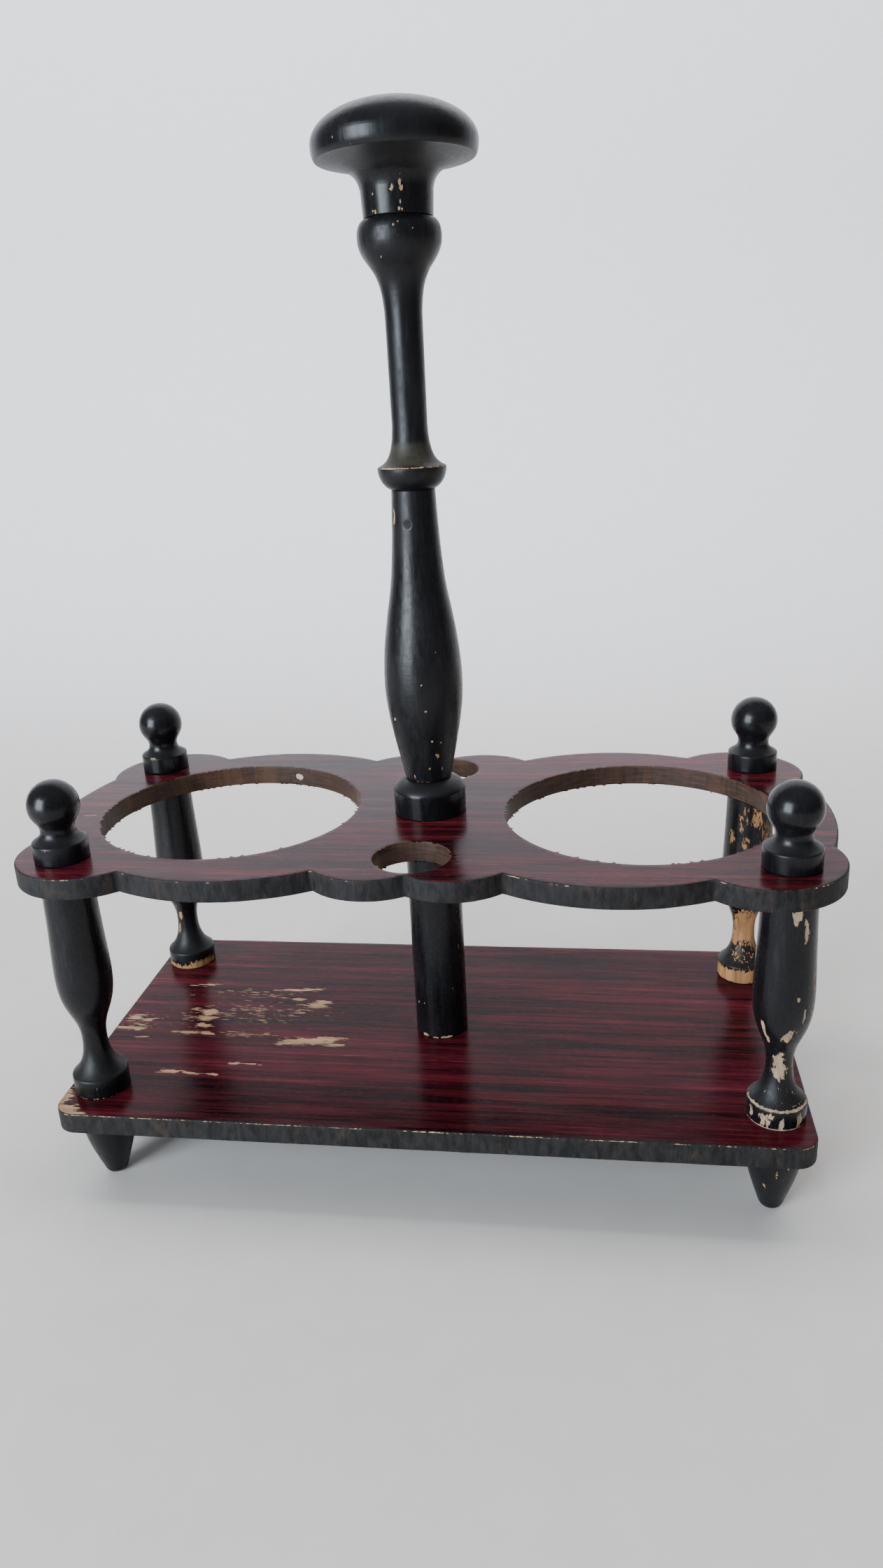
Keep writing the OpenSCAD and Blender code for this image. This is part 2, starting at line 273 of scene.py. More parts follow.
FOOT_WEAR = {
    "front_left": [(30, 1.2, 2.5, 1.0, 0.9), (10, 29, 6, 0.8, 0.5)],
    "front_right": [
        (0, 20, 4, 6, 0.33), (-26, 13.7, 1.2, 1.6, 0.6), (24, 24, 1.0, 1.6, 0.8), (-10, 1, 2.5, 1),
    ],
    "back_left": [(40, 8, 2, 3, 0.8)],
    "back_right": [(-40, 18, 2, 5, 0.8), (20, 1.5, 3, 1)],
}
FINIAL_WEAR = {
    "front_left": [(150, 7.1, 1.4, 0.3, 0.8)],
    "front_right": [(35, 16.5, 1.6, 0.5, 0.5)],
    "back_left": [(-10, 7.1, 1.0, 0.3, 0.9)],
    "back_right": [(170, 20, 1.0, 1.4, 0.8)],
}
COLUMN_WEAR = [
    (-32, 0.8, 1.5, 0.8), (-8, 0.4, 1.6, 0.4, 0.9), (10, 0.5, 1.6, 0.5), (24, 0.7, 1.1, 0.5),
    (4, 29.7, 0.25, 0.4, 0.9), (38, 22.3, 0.25, 0.6, 0.9), (-50, 14.8, 0.25, 0.6, 0.9),
    (46, 12, 0.25, 1.0, 0.8), (60, 40, 0.25, 1.4, 0.8), (180, 30, 0.9, 5, 0.9),
]
COLLAR_WEAR = [(6, 9.1, 0.4, 0.3, 0.8), (150, 9, 1.4, 0.5)]
GRIP_WEAR = [
    (-54, 111.4, 0.65, 2.4, 0.95), (-47, 39, 0.5, 0.8), (10, 43, 0.35, 0.45), (30, 64.4, 0.3, 0.3),
    (6, 53, 0.28, 0.3), (14, 45.3, 0.25, 0.6, 0.9), (18, 31, 0.5, 0.25), (34, 30, 0.4, 0.3),
    (30, 24.6, 0.45, 0.9), (26, 25.2, 0.3, 0.4), (12, 19.6, 0.3, 0.4), (42, 19, 0.22, 0.8),
    (-26, 16.3, 0.22, 0.7), (-6, 14, 3, 0.2, 0.5), (-70, 88, 0.4, 1.6, 0.9),
    (150, 70, 0.8, 3), (200, 45, 1.0, 2, 0.9),
]
SHAFT_WEAR = [
    (-30, 128.1, 6.5, 0.24, 0.9), (10, 128.1, 6, 0.2, 0.7), (-76, 127.3, 0.5, 0.8, 0.8),
    (60, 128.1, 6, 0.2, 0.7), (150, 128.0, 12, 0.3, 0.8),
    (2, 202.1, 0.25, 0.45), (6, 199, 0.25, 0.45, 0.9), (8, 203, 0.22, 0.35),
    (28, 201, 0.25, 0.55, 0.9), (-22, 193.7, 0.22, 0.5), (170, 199, 1.4, 1.0, 0.8),
]
KNOB_WEAR = [
    (-34, 225.7, 0.5, 0.55), (-20, 223.1, 0.5, 0.3, 0.9), (2, 213.0, 0.5, 0.8), (0, 212.4, 0.6, 0.5),
    (14, 214.0, 0.5, 0.9), (16, 212.6, 0.45, 0.8), (15, 216.4, 0.25, 0.45, 0.9),
    (14, 208.8, 0.3, 0.7), (12, 206.9, 0.35, 0.6), (16, 206.6, 0.3, 0.4),
    (-32, 211.7, 0.25, 0.4), (-34, 206.9, 0.35, 0.4), (-29, 206.5, 0.28, 0.5),
    (160, 225, 2, 1.2, 0.9), (190, 224, 1.4, 0.8),
]

GRIP_BRAD = (-10, 108.9)  # turn and height of the brad


# ---------------------------------------------------------------- turned pieces

TOOL_MARK = 0.02  # height of the lathe's rings, in mm
OUT_OF_ROUND = 0.03  # how far a turned piece is from round, in mm
UNEVEN = 0.04  # height of its slow unevenness, in mm


def ring_faces(rings, segments):
    """Faces between rings of points. A ring of one point is on the axis, and a bored piece has none."""
    faces = []
    for low, high in zip(rings, rings[1:]):
        for i in range(segments):
            j = (i + 1) % segments
            if len(low) == 1:
                faces.append((low[0], high[j], high[i]))
            elif len(high) == 1:
                faces.append((low[i], low[j], high[0]))
            else:
                faces.append((low[i], low[j], high[j], high[i]))
    if len(rings[0]) > 1:
        low, high = rings[-1], rings[0]
        faces += [
            (low[i], low[(i + 1) % segments], high[(i + 1) % segments], high[i])
            for i in range(segments)
        ]
    return faces


def pit_drop(pits, turn, r, z):
    """How far the surface of a turned piece sinks at that place, for its pits."""
    drop = 0
    for pit_turn, pit_z, pit_r, pit_depth in pits:
        arc = math.radians((turn - pit_turn + 180) % 360 - 180) * r
        away = math.hypot(arc, z - pit_z)
        drop += pit_depth * (1 - fade(away, pit_r * 0.7, pit_r * 1.3))
    return drop


def turned(
    name, profile, centre, base, wear, seed, dust_and_sheen_bands=(), pits=(), segments=SEGMENTS, step=RING_STEP,
):
    """A turned solid about a vertical axis, with wear, and dust and painted sheen, stored on its vertices.

    dust_and_sheen_bands holds matt stretches, (lowest height, highest height, fade in mm), and pits holds
    small dents, (turn, height, radius, depth). A band takes a tone: dust on most pieces, and a painted sheen
    under the knob.
    """
    outline = spaced(profile, step)
    rng = random.Random(seed)
    lean = rng.uniform(0, math.tau)
    verts = []
    levels = []
    dust_and_sheen = []
    rings = []
    for r, z in outline:
        if r < 1e-6:
            rings.append([len(verts)])
            verts.append((centre.x, centre.y, base + z * MM))
            levels.append(0)
            dust_and_sheen.append(0)
            continue
        ring = []
        near = [patch for patch in wear if abs(z - patch[1]) < 2.5 * patch[3]]
        tool_mark = TOOL_MARK * noise.noise(Vector((seed, 0, z * 1.7))) if r > HIDDEN_R else 0
        matt = max([
            fade(z, low - soft, low + soft) * (1 - fade(z, high - soft, high + soft))
            for low, high, soft in dust_and_sheen_bands
        ] or [0])
        for i in range(segments):
            angle = math.tau * i / segments
            turn = math.degrees(angle)
            x, y = math.sin(angle), -math.cos(angle)
            level = 0
            radius = r
            if r > HIDDEN_R:
                level = patch_level(
                    near,
                    lambda p: math.radians((turn - p[0] + 180) % 360 - 180) * r,
                    z,
                )
                if level > LEAST_LEVEL:
                    level += TURNED_RAGGED * ragged((x * r, y * r, z), (1, 1, 2.2), 1.4, seed)
                radius += tool_mark + OUT_OF_ROUND * math.cos(2 * angle + lean)
                radius += UNEVEN * noise.noise(Vector((x * r, y * r, z * 0.4)) * 0.16)
                radius -= PAINT_DEPTH * fade(level, WORN_LOW, WORN_HIGH)
                radius -= pit_drop(pits, turn, r, z)
            ring.append(len(verts))
            verts.append((
                centre.x + x * radius * MM,
                centre.y + y * radius * MM,
                base + z * MM,
            ))
            levels.append(level)
            dust_and_sheen.append(matt)
        rings.append(ring)
    faces = ring_faces(rings, segments)
    return make_piece(name, verts, faces, {"wear": levels, "dust_and_sheen": dust_and_sheen})


def make_piece(name, verts, faces, values):
    """A smooth-shaded mesh object with a float attribute for each list of values."""
    mesh = bpy.data.meshes.new(name)
    mesh.from_pydata(verts, [], faces)
    for key, numbers in values.items():
        layer = mesh.attributes.new(key, "FLOAT", "POINT")
        layer.data.foreach_set("value", numbers)
    mesh.shade_smooth()
    mesh.update()
    piece = bpy.data.objects.new(name, mesh)
    bpy.context.scene.collection.objects.link(piece)
    return piece


def settle(piece, node, materials):
    """The piece takes its materials and the place of its CAD node."""
    for material in materials:
        piece.data.materials.append(material)
    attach(piece, "root")
    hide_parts(node)


# ---------------------------------------------------------------- boards

BOARD_STEP = 1.6  # spacing of the points of a board's faces
FINE_STEP = 0.8  # the same inside worn patches
BOTTLE_R = 51
CRUET_R = 13.7
SINK_DEPTH = 3  # depth of the countersink under the base board
OUTLINE_STEP = 1.1  # spacing of the points round a board's outline and its holes
ROW_RATIO = 0.87  # rows of a triangular grid are this much closer than its points
SAG = 0.05  # unevenness of a board's top face
TOP_FACE, RIM, HOLE, UNDERSIDE = 0, 1, 2, 3  # material slots of a board

# Worn patches on the boards' top faces: (x, y, half length, half width[, strength]).
BASE_WEAR = [
    (-53, -15.5, 10, 1.9), (-47, -13.5, 7, 1.4), (-60, -17, 6, 1.2), (-42, -17.5, 4, 1.0, 0.9),
    (-57, 12, 4.5, 2.0), (-54, 15, 4, 1.2), (-66, 17, 3.5, 0.8, 0.9), (-70, 24.5, 7, 0.9),
    (-62, 25.5, 4, 0.8), (-103, 4, 3, 2.4), (-103, -1, 3.4, 1.6), (-102, -6.5, 3.2, 1.4),
    (-107, -12, 6, 1.2), (-98, -12.5, 3, 0.8, 0.9), (-104, -40, 3.8, 1.2), (-96, -40.5, 5, 0.6, 0.9),
    (-86, -41, 2.5, 0.6, 0.9), (-80, -33, 2, 0.8, 0.9), (-72, -33, 3, 0.5, 0.8),
    (-136, -10, 5, 1.2), (-130, -10.5, 4, 0.9), (-134, -2, 3, 1.8, 0.9), (-128, -3.5, 2.4, 1.0, 0.9),
    (-126, -16.5, 3, 0.6, 0.85), (-110, 27, 5, 0.7, 0.8), (-118, 26, 3, 0.6, 0.8),
    (-85, 2, 22, 6, 0.30), (-80, 8, 24, 5, 0.31), (-90, 20, 22, 4, 0.30), (-84, -12, 18, 2, 0.40),
    (-108, 0, 6, 10, 0.33), (-130, -6, 8, 8, 0.33),
    (-136, -67, 5, 3.2), (-139, -60, 1.8, 6), (-132, -69, 5, 1.4), (138, -46, 1.4, 0.7),
]
# The pale spot on the wall of the left bottle hole: (x, y, depth, half length, half height, strength).
HOLE_MARKS = [(-65.9, 49.0, 4.0, 1.5, 1.3, 1.0)]
SHELF_WEAR = [(-138.5, -9, 3.6, 0.22, 0.95), (-136, -8.6, 6, 0.3, 0.5)]


def hole_mark(x, y, depth):
    """Worn level on the wall of a hole, as in patch_level."""
    level = 0
    for mark_x, mark_y, mark_depth, length, height, strength in HOLE_MARKS:
        across = math.hypot(x - mark_x, y - mark_y) / length
        down = (depth - mark_depth) / height
        level = max(level, strength * math.exp(-0.7 * (across * across + down * down)))
    return level


def loop_length(loop):
    return sum((a - b).length for a, b in zip(loop, loop[1:] + loop[:1]))


def loops_at(node, level):
    """Closed outlines of a CAD node's flat face at that height, longest first, in metres."""
    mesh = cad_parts[node].data
    key = [(round(v.co.x, 6), round(v.co.y, 6), abs(v.co.z - level) < 1e-5) for v in mesh.vertices]
    count = {}
    for face in mesh.polygons:
        corners = [key[i] for i in face.vertices]
        if not all(c[2] for c in corners):
            continue
        for a, b in zip(corners, corners[1:] + corners[:1]):
            if (b, a) in count:
                del count[b, a]
            else:
                count[a, b] = True
    follow = dict(count.keys())
    loops = []
    while follow:
        first = next(iter(follow))
        loop = []
        at = first
        while at in follow:
            loop.append(Vector(at[:2]))
            at = follow.pop(at)
        loops.append(loop)
    return sorted(loops, key=loop_length, reverse=True)


def even_loop(loop, step):
    """The loop with its long sides cut up and its crowded points thinned."""
    kept = [loop[0]]
    for point in loop[1:]:
        if (point - kept[-1]).length > step * 0.4:
            kept.append(point)
    points = []
    for a, b in zip(kept, kept[1:] + kept[:1]):
        count = max(1, round((b - a).length / step))
        points += [a.lerp(b, i / count) for i in range(count)]
    return points


def inward_normals(loop):
    """Unit normals to the left of a loop's direction of travel."""
    normals = []
    for before, after in zip(loop[-1:] + loop[:-1], loop[1:] + loop[:1]):
        along = (after - before).normalized()
        normals.append(Vector((-along.y, along.x)))
    return normals


def circle(x, y, r, step):
    """A circle of points, clockwise, so that its left side is the outside."""
    count = max(32, round(math.tau * r / step))
    return [
        Vector((x + r * math.sin(math.tau * i / count), y + r * math.cos(math.tau * i / count)))
        for i in range(count)
    ]


def edge_rows(thickness, arris, rows):
    """(inset, depth) pairs from the top face over a rounded edge down to the bottom face."""
    quarter = [math.radians(a) for a in (0, 22, 45, 68, 90)]
    top = [(arris * (1 - math.sin(a)), arris * (1 - math.cos(a))) for a in quarter]
    side = [(0, arris + (thickness - 2 * arris) * i / rows) for i in range(1, rows)]
    bottom = [(inset, thickness - depth) for inset, depth in reversed(top)]
    return top + side + bottom


def inner_points(border, low, high, wear, up):
    """Points in mm inside the border of a board's face, closer together in worn patches.

    low and high are the board's corners in metres. up is true for its top face.
    """
    near = kdtree.KDTree(len(border))
    for i, p in enumerate(border):
        near.insert((p.x, p.y, 0), i)
    near.balance()
    inner = []
    for step, fine in ((BOARD_STEP, False), (FINE_STEP, True)):
        if fine and not up:
            continue
        rows = int((high.y - low.y) / MM / (step * ROW_RATIO))
        columns = int((high.x - low.x) / MM / step)
        for row in range(rows + 1):
            for column in range(columns + 1):
                x = low.x / MM + (column + 0.5 * (row % 2)) * step
                y = low.y / MM + row * step * ROW_RATIO
                worn = patch_level(wear, lambda p: x - p[0], y) > 0.2
                if worn != fine and up:
                    continue
                if near.find((x, y, 0))[2] > 0.7 * step:
                    inner.append(Vector((x, y)))
    return inner


class Board:
    """A board in the making: a wall round its outline and each hole, and a face above and below."""

    def __init__(self, node, holes, wear, seed, bare_line):
        self.low, self.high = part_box(node)
        self.thickness = (self.high.z - self.low.z) / MM
        self.holes = holes
        self.wear = wear
        self.seed = seed
        self.bare_line = bare_line
        self.verts = []
        self.faces = []
        self.levels = []
        self.kinds = []
        self.top_edges = []
        self.bottom_edges = []

    def wall(self, loop, arris, rows, kind, rough, flare):
        """A closed wall of rows of points from the top face to the bottom face."""
        normals = inward_normals(loop)
        start = len(self.verts)
        steps = edge_rows(self.thickness, arris, rows)
        n = len(loop)
        for inset, depth in steps:
            for point, normal in zip(loop, normals):
                x, y = point / MM
                wobble = noise.noise(Vector((x * 0.09, y * 0.09, self.seed)))
                grit = rough * ragged((x, y, depth), (1, 1, 1.5), 1.1, self.seed)
                scale = 1 + 0.5 * wobble
                spread = flare * max(0, depth - self.thickness + SINK_DEPTH)
                offset = inset * scale + grit + spread
                spot = point + normal * offset * MM
                self.verts.append((spot.x, spot.y, self.high.z - depth * MM))
                self.levels.append(self.rim_wear(x, y, depth) if kind == RIM else hole_mark(x, y, depth))
        for row in range(len(steps) - 1):
            for i in range(n):
                j = (i + 1) % n
                a, b = start + row * n + i, start + row * n + j
                self.faces.append((a, a + n, b + n, b))
                self.kinds.append(kind)
        self.top_edges.append([start + i for i in range(n)])
        self.bottom_edges.append([start + (len(steps) - 1) * n + i for i in range(n)])

    def rim_wear(self, x, y, depth):
        """Worn level of the outer wall, which is bare along a broken line just below its top edge."""
        near_top = math.exp(-((depth - 0.3) / 0.22) ** 2)
        return near_top * (self.bare_line + 0.30 * ragged((x, y, 0), (1, 1, 1), 7, self.seed + 3))

    def face(self, edges, z, up):
        """A face of small triangles inside its edges, at that height."""
        border = [i for loop in edges for i in loop]
        flat = [Vector(self.verts[i][:2]) / MM for i in border]
        links = []
        start = 0
        for loop in edges:
            n = len(loop)
            links += [(start + i, start + (i + 1) % n) for i in range(n)]
            start += n
        inner = inner_points(flat, self.low, self.high, self.wear, up)
        points, _, triangles, origins, _, _ = delaunay_2d_cdt(flat + inner, links, [], 2, 1e-5)
        index = {}
        for i, origin in enumerate(origins):
            first = min(origin) if origin else None
            if first is not None and first < len(border):
                index[i] = border[first]
        for triangle in triangles:
            if self.in_hole(sum((points[i] for i in triangle), Vector((0, 0))) / 3, up):
                continue
            for i in triangle:
                if i not in index:
                    index[i] = self.face_point(points[i], z, up)
            corners = [index[i] for i in triangle]
            self.faces.append(corners if up else corners[::-1])
            self.kinds.append(TOP_FACE if up else UNDERSIDE)

    def in_hole(self, place, up):
        return any(
            math.hypot(place.x - x, place.y - y) < r + (0 if up else SINK_DEPTH * flare) - 0.1
            for x, y, r, flare in self.holes
        )

    def face_point(self, point, z, up):
        """Adds a point of a face and returns its index. Only the top face is worn and uneven."""
        x, y = point
        level = self.top_wear(x, y) if up else 0
        if level > LEAST_LEVEL:
            level += BOARD_RAGGED * ragged((x, y, 0), (5, 1, 1), 1.0, self.seed)
        sag = SAG * noise.noise(Vector((x * 0.035, y * 0.05, self.seed)))
        dip = LACQUER_DEPTH * fade(level, WORN_LOW, WORN_HIGH)
        self.verts.append((x * MM, y * MM, z + ((sag - SAG - dip) * MM if up else 0)))
        self.levels.append(level)
        return len(self.verts) - 1

    def top_wear(self, x, y):
        return patch_level(self.wear, lambda p: x - p[0], y)

    def wear_top_edge(self):
        """Carries the worn patches of the top face over onto the outer edge."""
        for i in self.top_edges[0]:
            x, y = self.verts[i][0] / MM, self.verts[i][1] / MM
            self.levels[i] = max(self.levels[i], self.top_wear(x, y))


def board(name, node, holes, wear, seed, bare_line):
    """A board with worn edges. A hole is (x, y, radius, growth per mm of its countersink) in mm."""
    made = Board(node, holes, wear, seed, bare_line)
    outline = even_loop(loops_at(node, made.high.z)[0], OUTLINE_STEP * MM)
    if sum(a.cross(b) for a, b in zip(outline, outline[1:] + outline[:1])) < 0:
        outline.reverse()
    made.wall(outline, 0.55, 10, RIM, 0.05, 0)
    for x, y, r, flare in holes:
        rim = circle(x * MM, y * MM, r * MM, OUTLINE_STEP * MM)
        made.wall(rim, 0.35, 8, HOLE, 0.03, flare)
    made.face(made.top_edges, made.high.z, True)
    made.face(made.bottom_edges, made.low.z, False)
    made.wear_top_edge()
    piece = make_piece(name, made.verts, made.faces, {"wear": made.levels})
    piece.data.polygons.foreach_set("material_index", made.kinds)
    return piece


# ---------------------------------------------------------------- materials

class Shader:
    """A node material in the making, with short calls for the nodes it uses."""

    def __init__(self, name, metallic=0.0, ior=1.4):
        self.material = bpy.data.materials.new(name)
        self.material.use_nodes = True
        self.tree = self.material.node_tree
        self.bsdf = self.tree.nodes["Principled BSDF"]
        self.bsdf.inputs["Metallic"].default_value = metallic
        self.bsdf.inputs["IOR"].default_value = ior
        self.place = self.node("ShaderNodeTexCoord").outputs["Object"]

    def node(self, kind, **settings):
        made = self.tree.nodes.new(kind)
        for key, value in settings.items():
            setattr(made, key, value)
        return made

    def plug(self, value, socket):
        """Links an output to the socket, or sets the socket's own value."""
        if isinstance(value, bpy.types.NodeSocket):
            self.tree.links.new(value, socket)
        else:
            socket.default_value = value

    def noise(self, scale, detail=3.0, stretch=(1, 1, 1), shift=0.0, warp=0.0, rough=0.55):
        """Noise whose features are 1/scale metres, and longer along each axis by stretch."""
        mapping = self.node("ShaderNodeMapping")
        mapping.inputs["Scale"].default_value = [1 / s for s in stretch]
        mapping.inputs["Location"].default_value = (shift, shift * 0.7, shift * 0.3)
        self.plug(self.place, mapping.inputs["Vector"])
        made = self.node("ShaderNodeTexNoise")
        self.plug(mapping.outputs["Vector"], made.inputs["Vector"])
        made.inputs["Scale"].default_value = scale
        made.inputs["Detail"].default_value = detail
        made.inputs["Roughness"].default_value = rough
        made.inputs["Distortion"].default_value = warp
        return made.outputs["Fac"]

    def value(self, name):
        """A float stored on the vertices."""
        return self.node("ShaderNodeAttribute", attribute_name=name).outputs["Fac"]

    def math(self, operation, a, b=0.0):
        made = self.node("ShaderNodeMath", operation=operation)
        self.plug(a, made.inputs[0])
        self.plug(b, made.inputs[1])
        return made.outputs[0]

    def ramp(self, value, low, high, start=0.0, end=1.0):
        """start below low, end above high, and smooth between them."""
        made = self.node("ShaderNodeMapRange", interpolation_type="SMOOTHSTEP")
        self.plug(value, made.inputs["Value"])
        for key, number in (("From Min", low), ("From Max", high), ("To Min", start), ("To Max", end)):
            made.inputs[key].default_value = number
        return made.outputs["Result"]

    def colours(self, value, *stops):
        """A colour ramp through (position, (r, g, b)) stops."""
        made = self.node("ShaderNodeValToRGB")
        self.plug(value, made.inputs["Fac"])
        elements = made.color_ramp.elements
        while len(elements) < len(stops):
            elements.new(0.5)
        for element, (position, colour) in zip(elements, stops):
            element.position = position
            element.color = (*colour, 1)
        return made.outputs["Color"]

    def blend(self, factor, a, b):
        """Colour a where the factor is 0 and b where it is 1."""
        made = self.node("ShaderNodeMix", data_type="RGBA")
        self.plug(factor, made.inputs["Factor"])
        for value, socket in ((a, made.inputs["A"]), (b, made.inputs["B"])):
            self.plug((*value, 1) if isinstance(value, tuple) else value, socket)
        return made.outputs["Result"]

    def mix(self, factor, a, b):
        """Number a where the factor is 0 and b where it is 1."""
        made = self.node("ShaderNodeMix", data_type="FLOAT")
        self.plug(factor, made.inputs["Factor"])
        self.plug(a, made.inputs["A"])
        self.plug(b, made.inputs["B"])
        return made.outputs["Result"]

    def finish(self, colour, roughness, bumps):
        """Sets colour, roughness and a chain of (height, depth in metres) bumps."""
        self.plug((*colour, 1) if isinstance(colour, tuple) else colour, self.bsdf.inputs["Base Color"])
        self.plug(roughness, self.bsdf.inputs["Roughness"])
        normal = None
        for height, depth in bumps:
            bump = self.node("ShaderNodeBump")
            bump.inputs["Strength"].default_value = 1.0
            bump.inputs["Distance"].default_value = depth
            self.plug(height, bump.inputs["Height"])
            if normal is not None:
                self.plug(normal, bump.inputs["Normal"])
            normal = bump.outputs["Normal"]
        if normal is not None:
            self.plug(normal, self.bsdf.inputs["Normal"])
        return self.material


def raw_wood(shader, stretch, pale=(0.40, 0.27, 0.155), dark=(0.22, 0.125, 0.065)):
    """Colour of bare wood with its grain along the stretched axis."""
    grain = shader.noise(420, 4, stretch, 3.0, 0.4)
    return shader.colours(grain, (0.30, dark), (0.62, pale))


def chip_mask(shader, scale, stretch, reach):
    """1 where the paint is gone, and 1 there and just round it, from the worn level and noise."""
    fine = shader.noise(scale, 3, stretch, 5.0)
    level = shader.math("ADD", shader.value("wear"), shader.ramp(fine, 0.25, 0.75, -reach, reach))
    return shader.ramp(level, 0.48, 0.52), shader.ramp(level, 0.40, 0.52)


def black_paint(
    name, gloss, seed, streaky=0.5, dust_and_sheen_tone=(0.007, 0.007, 0.0074), bare=(0.40, 0.255, 0.14),
    relief=1.0,
):
    """Worn ebonised paint on turned wood: brushed streaks, tool rings, chips, and tinted bands: dust on most
    pieces, painted sheen under the knob.
    """
    s = Shader(name, ior=1.32)
    along = (1, 1, 9)
    streaks = s.noise(900, 4, along, seed)
    mottle = s.noise(700, 4, (1, 1, 1.6), seed + 1)
    cloud = s.noise(90, 3, (1, 1, 2), seed + 2)
    rings = s.noise(1500, 2, (30, 30, 1), seed + 3)
    chips, halo = chip_mask(s, 1300, (1, 1, 3), 0.26)
    specks = s.ramp(s.noise(620, 2, (1, 1, 1.8), seed + 4), 0.775, 0.80)
    # Tinted band: dust on most pieces; on the knob's underside its paler grey is a painted sheen that stands
    # in for a grazing reflection.
    dust_and_sheen = s.math("MULTIPLY", s.value("dust_and_sheen"), s.ramp(mottle, 0.25, 0.6, 0.55, 1.0))
    paint = s.colours(cloud, (0.3, (0.0030, 0.0030, 0.0038)), (0.7, (0.0062, 0.0061, 0.0072)))
    paint = s.blend(s.ramp(streaks, 0.5, 0.8, 0, 0.35), paint, (0.015, 0.0145, 0.015))
    paint = s.blend(dust_and_sheen, paint, dust_and_sheen_tone)
    paint = s.blend(s.math("MULTIPLY", halo, 0.7), paint, (0.055, 0.026, 0.012))
    wood = raw_wood(s, (1, 1, 7), bare, tuple(0.45 * c for c in bare))
    colour = s.blend(chips, paint, wood)
    colour = s.blend(s.math("MULTIPLY", specks, 0.6), colour, (0.30, 0.26, 0.22))
    rough = s.ramp(streaks, 0.3, 0.75, gloss, gloss + 0.16 * streaky + 0.05)
    rough = s.math("ADD", rough, s.ramp(mottle, 0.45, 0.7, 0.0, 0.18 * streaky))
    rough = s.math("ADD", rough, s.ramp(cloud, 0.45, 0.75, 0.0, 0.08))
    rough = s.mix(dust_and_sheen, rough, 0.50)
    rough = s.mix(halo, rough, 0.78)
    return s.finish(colour, rough, (
        (mottle, 0.00004 * relief), (streaks, 0.00005 * relief), (rings, 0.000012), (chips, -0.00012),
    ))


def red_lacquer(name, seed, streak_gain=1.0, ior=1.20):
    """Mahogany-red lacquer with dark streaks along X, thin scuffs and chips to pale wood."""
    s = Shader(name, ior=ior)
    s.bsdf.inputs["Specular Tint"].default_value = (1.0, 0.80, 0.84, 1)
    wide = s.noise(230, 4, (22, 1, 1), seed, 0.35)
    fine = s.noise(800, 5, (30, 1, 1), seed + 1, 0.25, 0.65)
    hair = s.noise(2100, 2, (40, 1, 1), seed + 2)
    cloud = s.noise(26, 3, (2.2, 1, 1), seed + 3)
    streaks = s.math("ADD", s.math("MULTIPLY", wide, 0.40), s.math("MULTIPLY", fine, 0.42))
    streaks = s.math("ADD", streaks, s.math("MULTIPLY", cloud, 0.18))
    colour = s.colours(
        streaks,
        (0.36, (0.0030, 0.0014, 0.0018)),
        (0.44, (0.0100, 0.0024, 0.0034)),
        (0.50, (0.0320, 0.0036, 0.0062)),
        (0.57, (0.0630, 0.0062, 0.0110)),
        (0.67, (0.1250, 0.0175, 0.0235)),
    )
    colour = s.blend(s.ramp(hair, 0.60, 0.78, 0, 0.40 * streak_gain), colour, (0.010, 0.004, 0.005))
    flecks = s.ramp(s.noise(1500, 3, (4, 1, 1), seed + 5), 0.56, 0.72)
    colour = s.blend(s.math("MULTIPLY", flecks, 0.22), colour, (0.13, 0.028, 0.034))
    pores = s.ramp(s.noise(1300, 3, (7, 1, 1), seed + 6), 0.58, 0.72)
    colour = s.blend(s.math("MULTIPLY", pores, 0.55), colour, (0.006, 0.0025, 0.003))
    scuffs = s.ramp(s.noise(1700, 2, (26, 1, 1), seed + 4), 0.73, 0.78)
    colour = s.blend(s.math("MULTIPLY", scuffs, 0.30), colour, (0.16, 0.09, 0.07))
    chips, halo = chip_mask(s, 1500, (8, 1, 1), 0.40)
    colour = s.blend(s.math("MULTIPLY", halo, 0.6), colour, (0.10, 0.035, 0.022))
    wood = raw_wood(s, (14, 1, 1), (0.40, 0.275, 0.165), (0.26, 0.165, 0.09))
    colour = s.blend(chips, colour, wood)
    rough = s.ramp(fine, 0.3, 0.8, 0.13, 0.24)
    rough = s.math("ADD", rough, s.ramp(cloud, 0.45, 0.7, 0, 0.08))
    rough = s.mix(halo, rough, 0.62)
    return s.finish(colour, rough, (
        (fine, 0.00005), (hair, 0.000012), (cloud, 0.0003), (chips, -0.00010),
    ))


def edge_paint(name, seed):
    """Thin matt black paint brushed over a sawn edge, worn to bare wood along the arris."""
    s = Shader(name, ior=1.3)
    fibres = s.noise(520, 5, (1, 1, 3), seed, 0.3, 0.68)
    cloud = s.noise(120, 3, (1, 1, 1), seed + 1)
    grit = s.noise(2600, 3, (1, 1, 1), seed + 2)
    chips, halo = chip_mask(s, 1200, (2, 2, 1), 0.25)
    colour = s.colours(fibres, (0.38, (0.0030, 0.0030, 0.0034)), (0.64, (0.0170, 0.0162, 0.0168)))
    brown = s.math("MULTIPLY", s.ramp(cloud, 0.50, 0.72), s.ramp(fibres, 0.4, 0.6))
    colour = s.blend(s.math("MULTIPLY", brown, 0.55), colour, (0.045, 0.027, 0.016))
    pale = s.ramp(grit, 0.70, 0.76, 0, 0.5)
    colour = s.blend(pale, colour, (0.10, 0.09, 0.08))
    colour = s.blend(s.math("MULTIPLY", halo, 0.7), colour, (0.12, 0.065, 0.035))
    colour = s.blend(chips, colour, raw_wood(s, (5, 5, 1)))
    rough = s.ramp(fibres, 0.3, 0.7, 0.50, 0.72)
    return s.finish(colour, rough, ((fibres, 0.00034), (grit, 0.00010)))


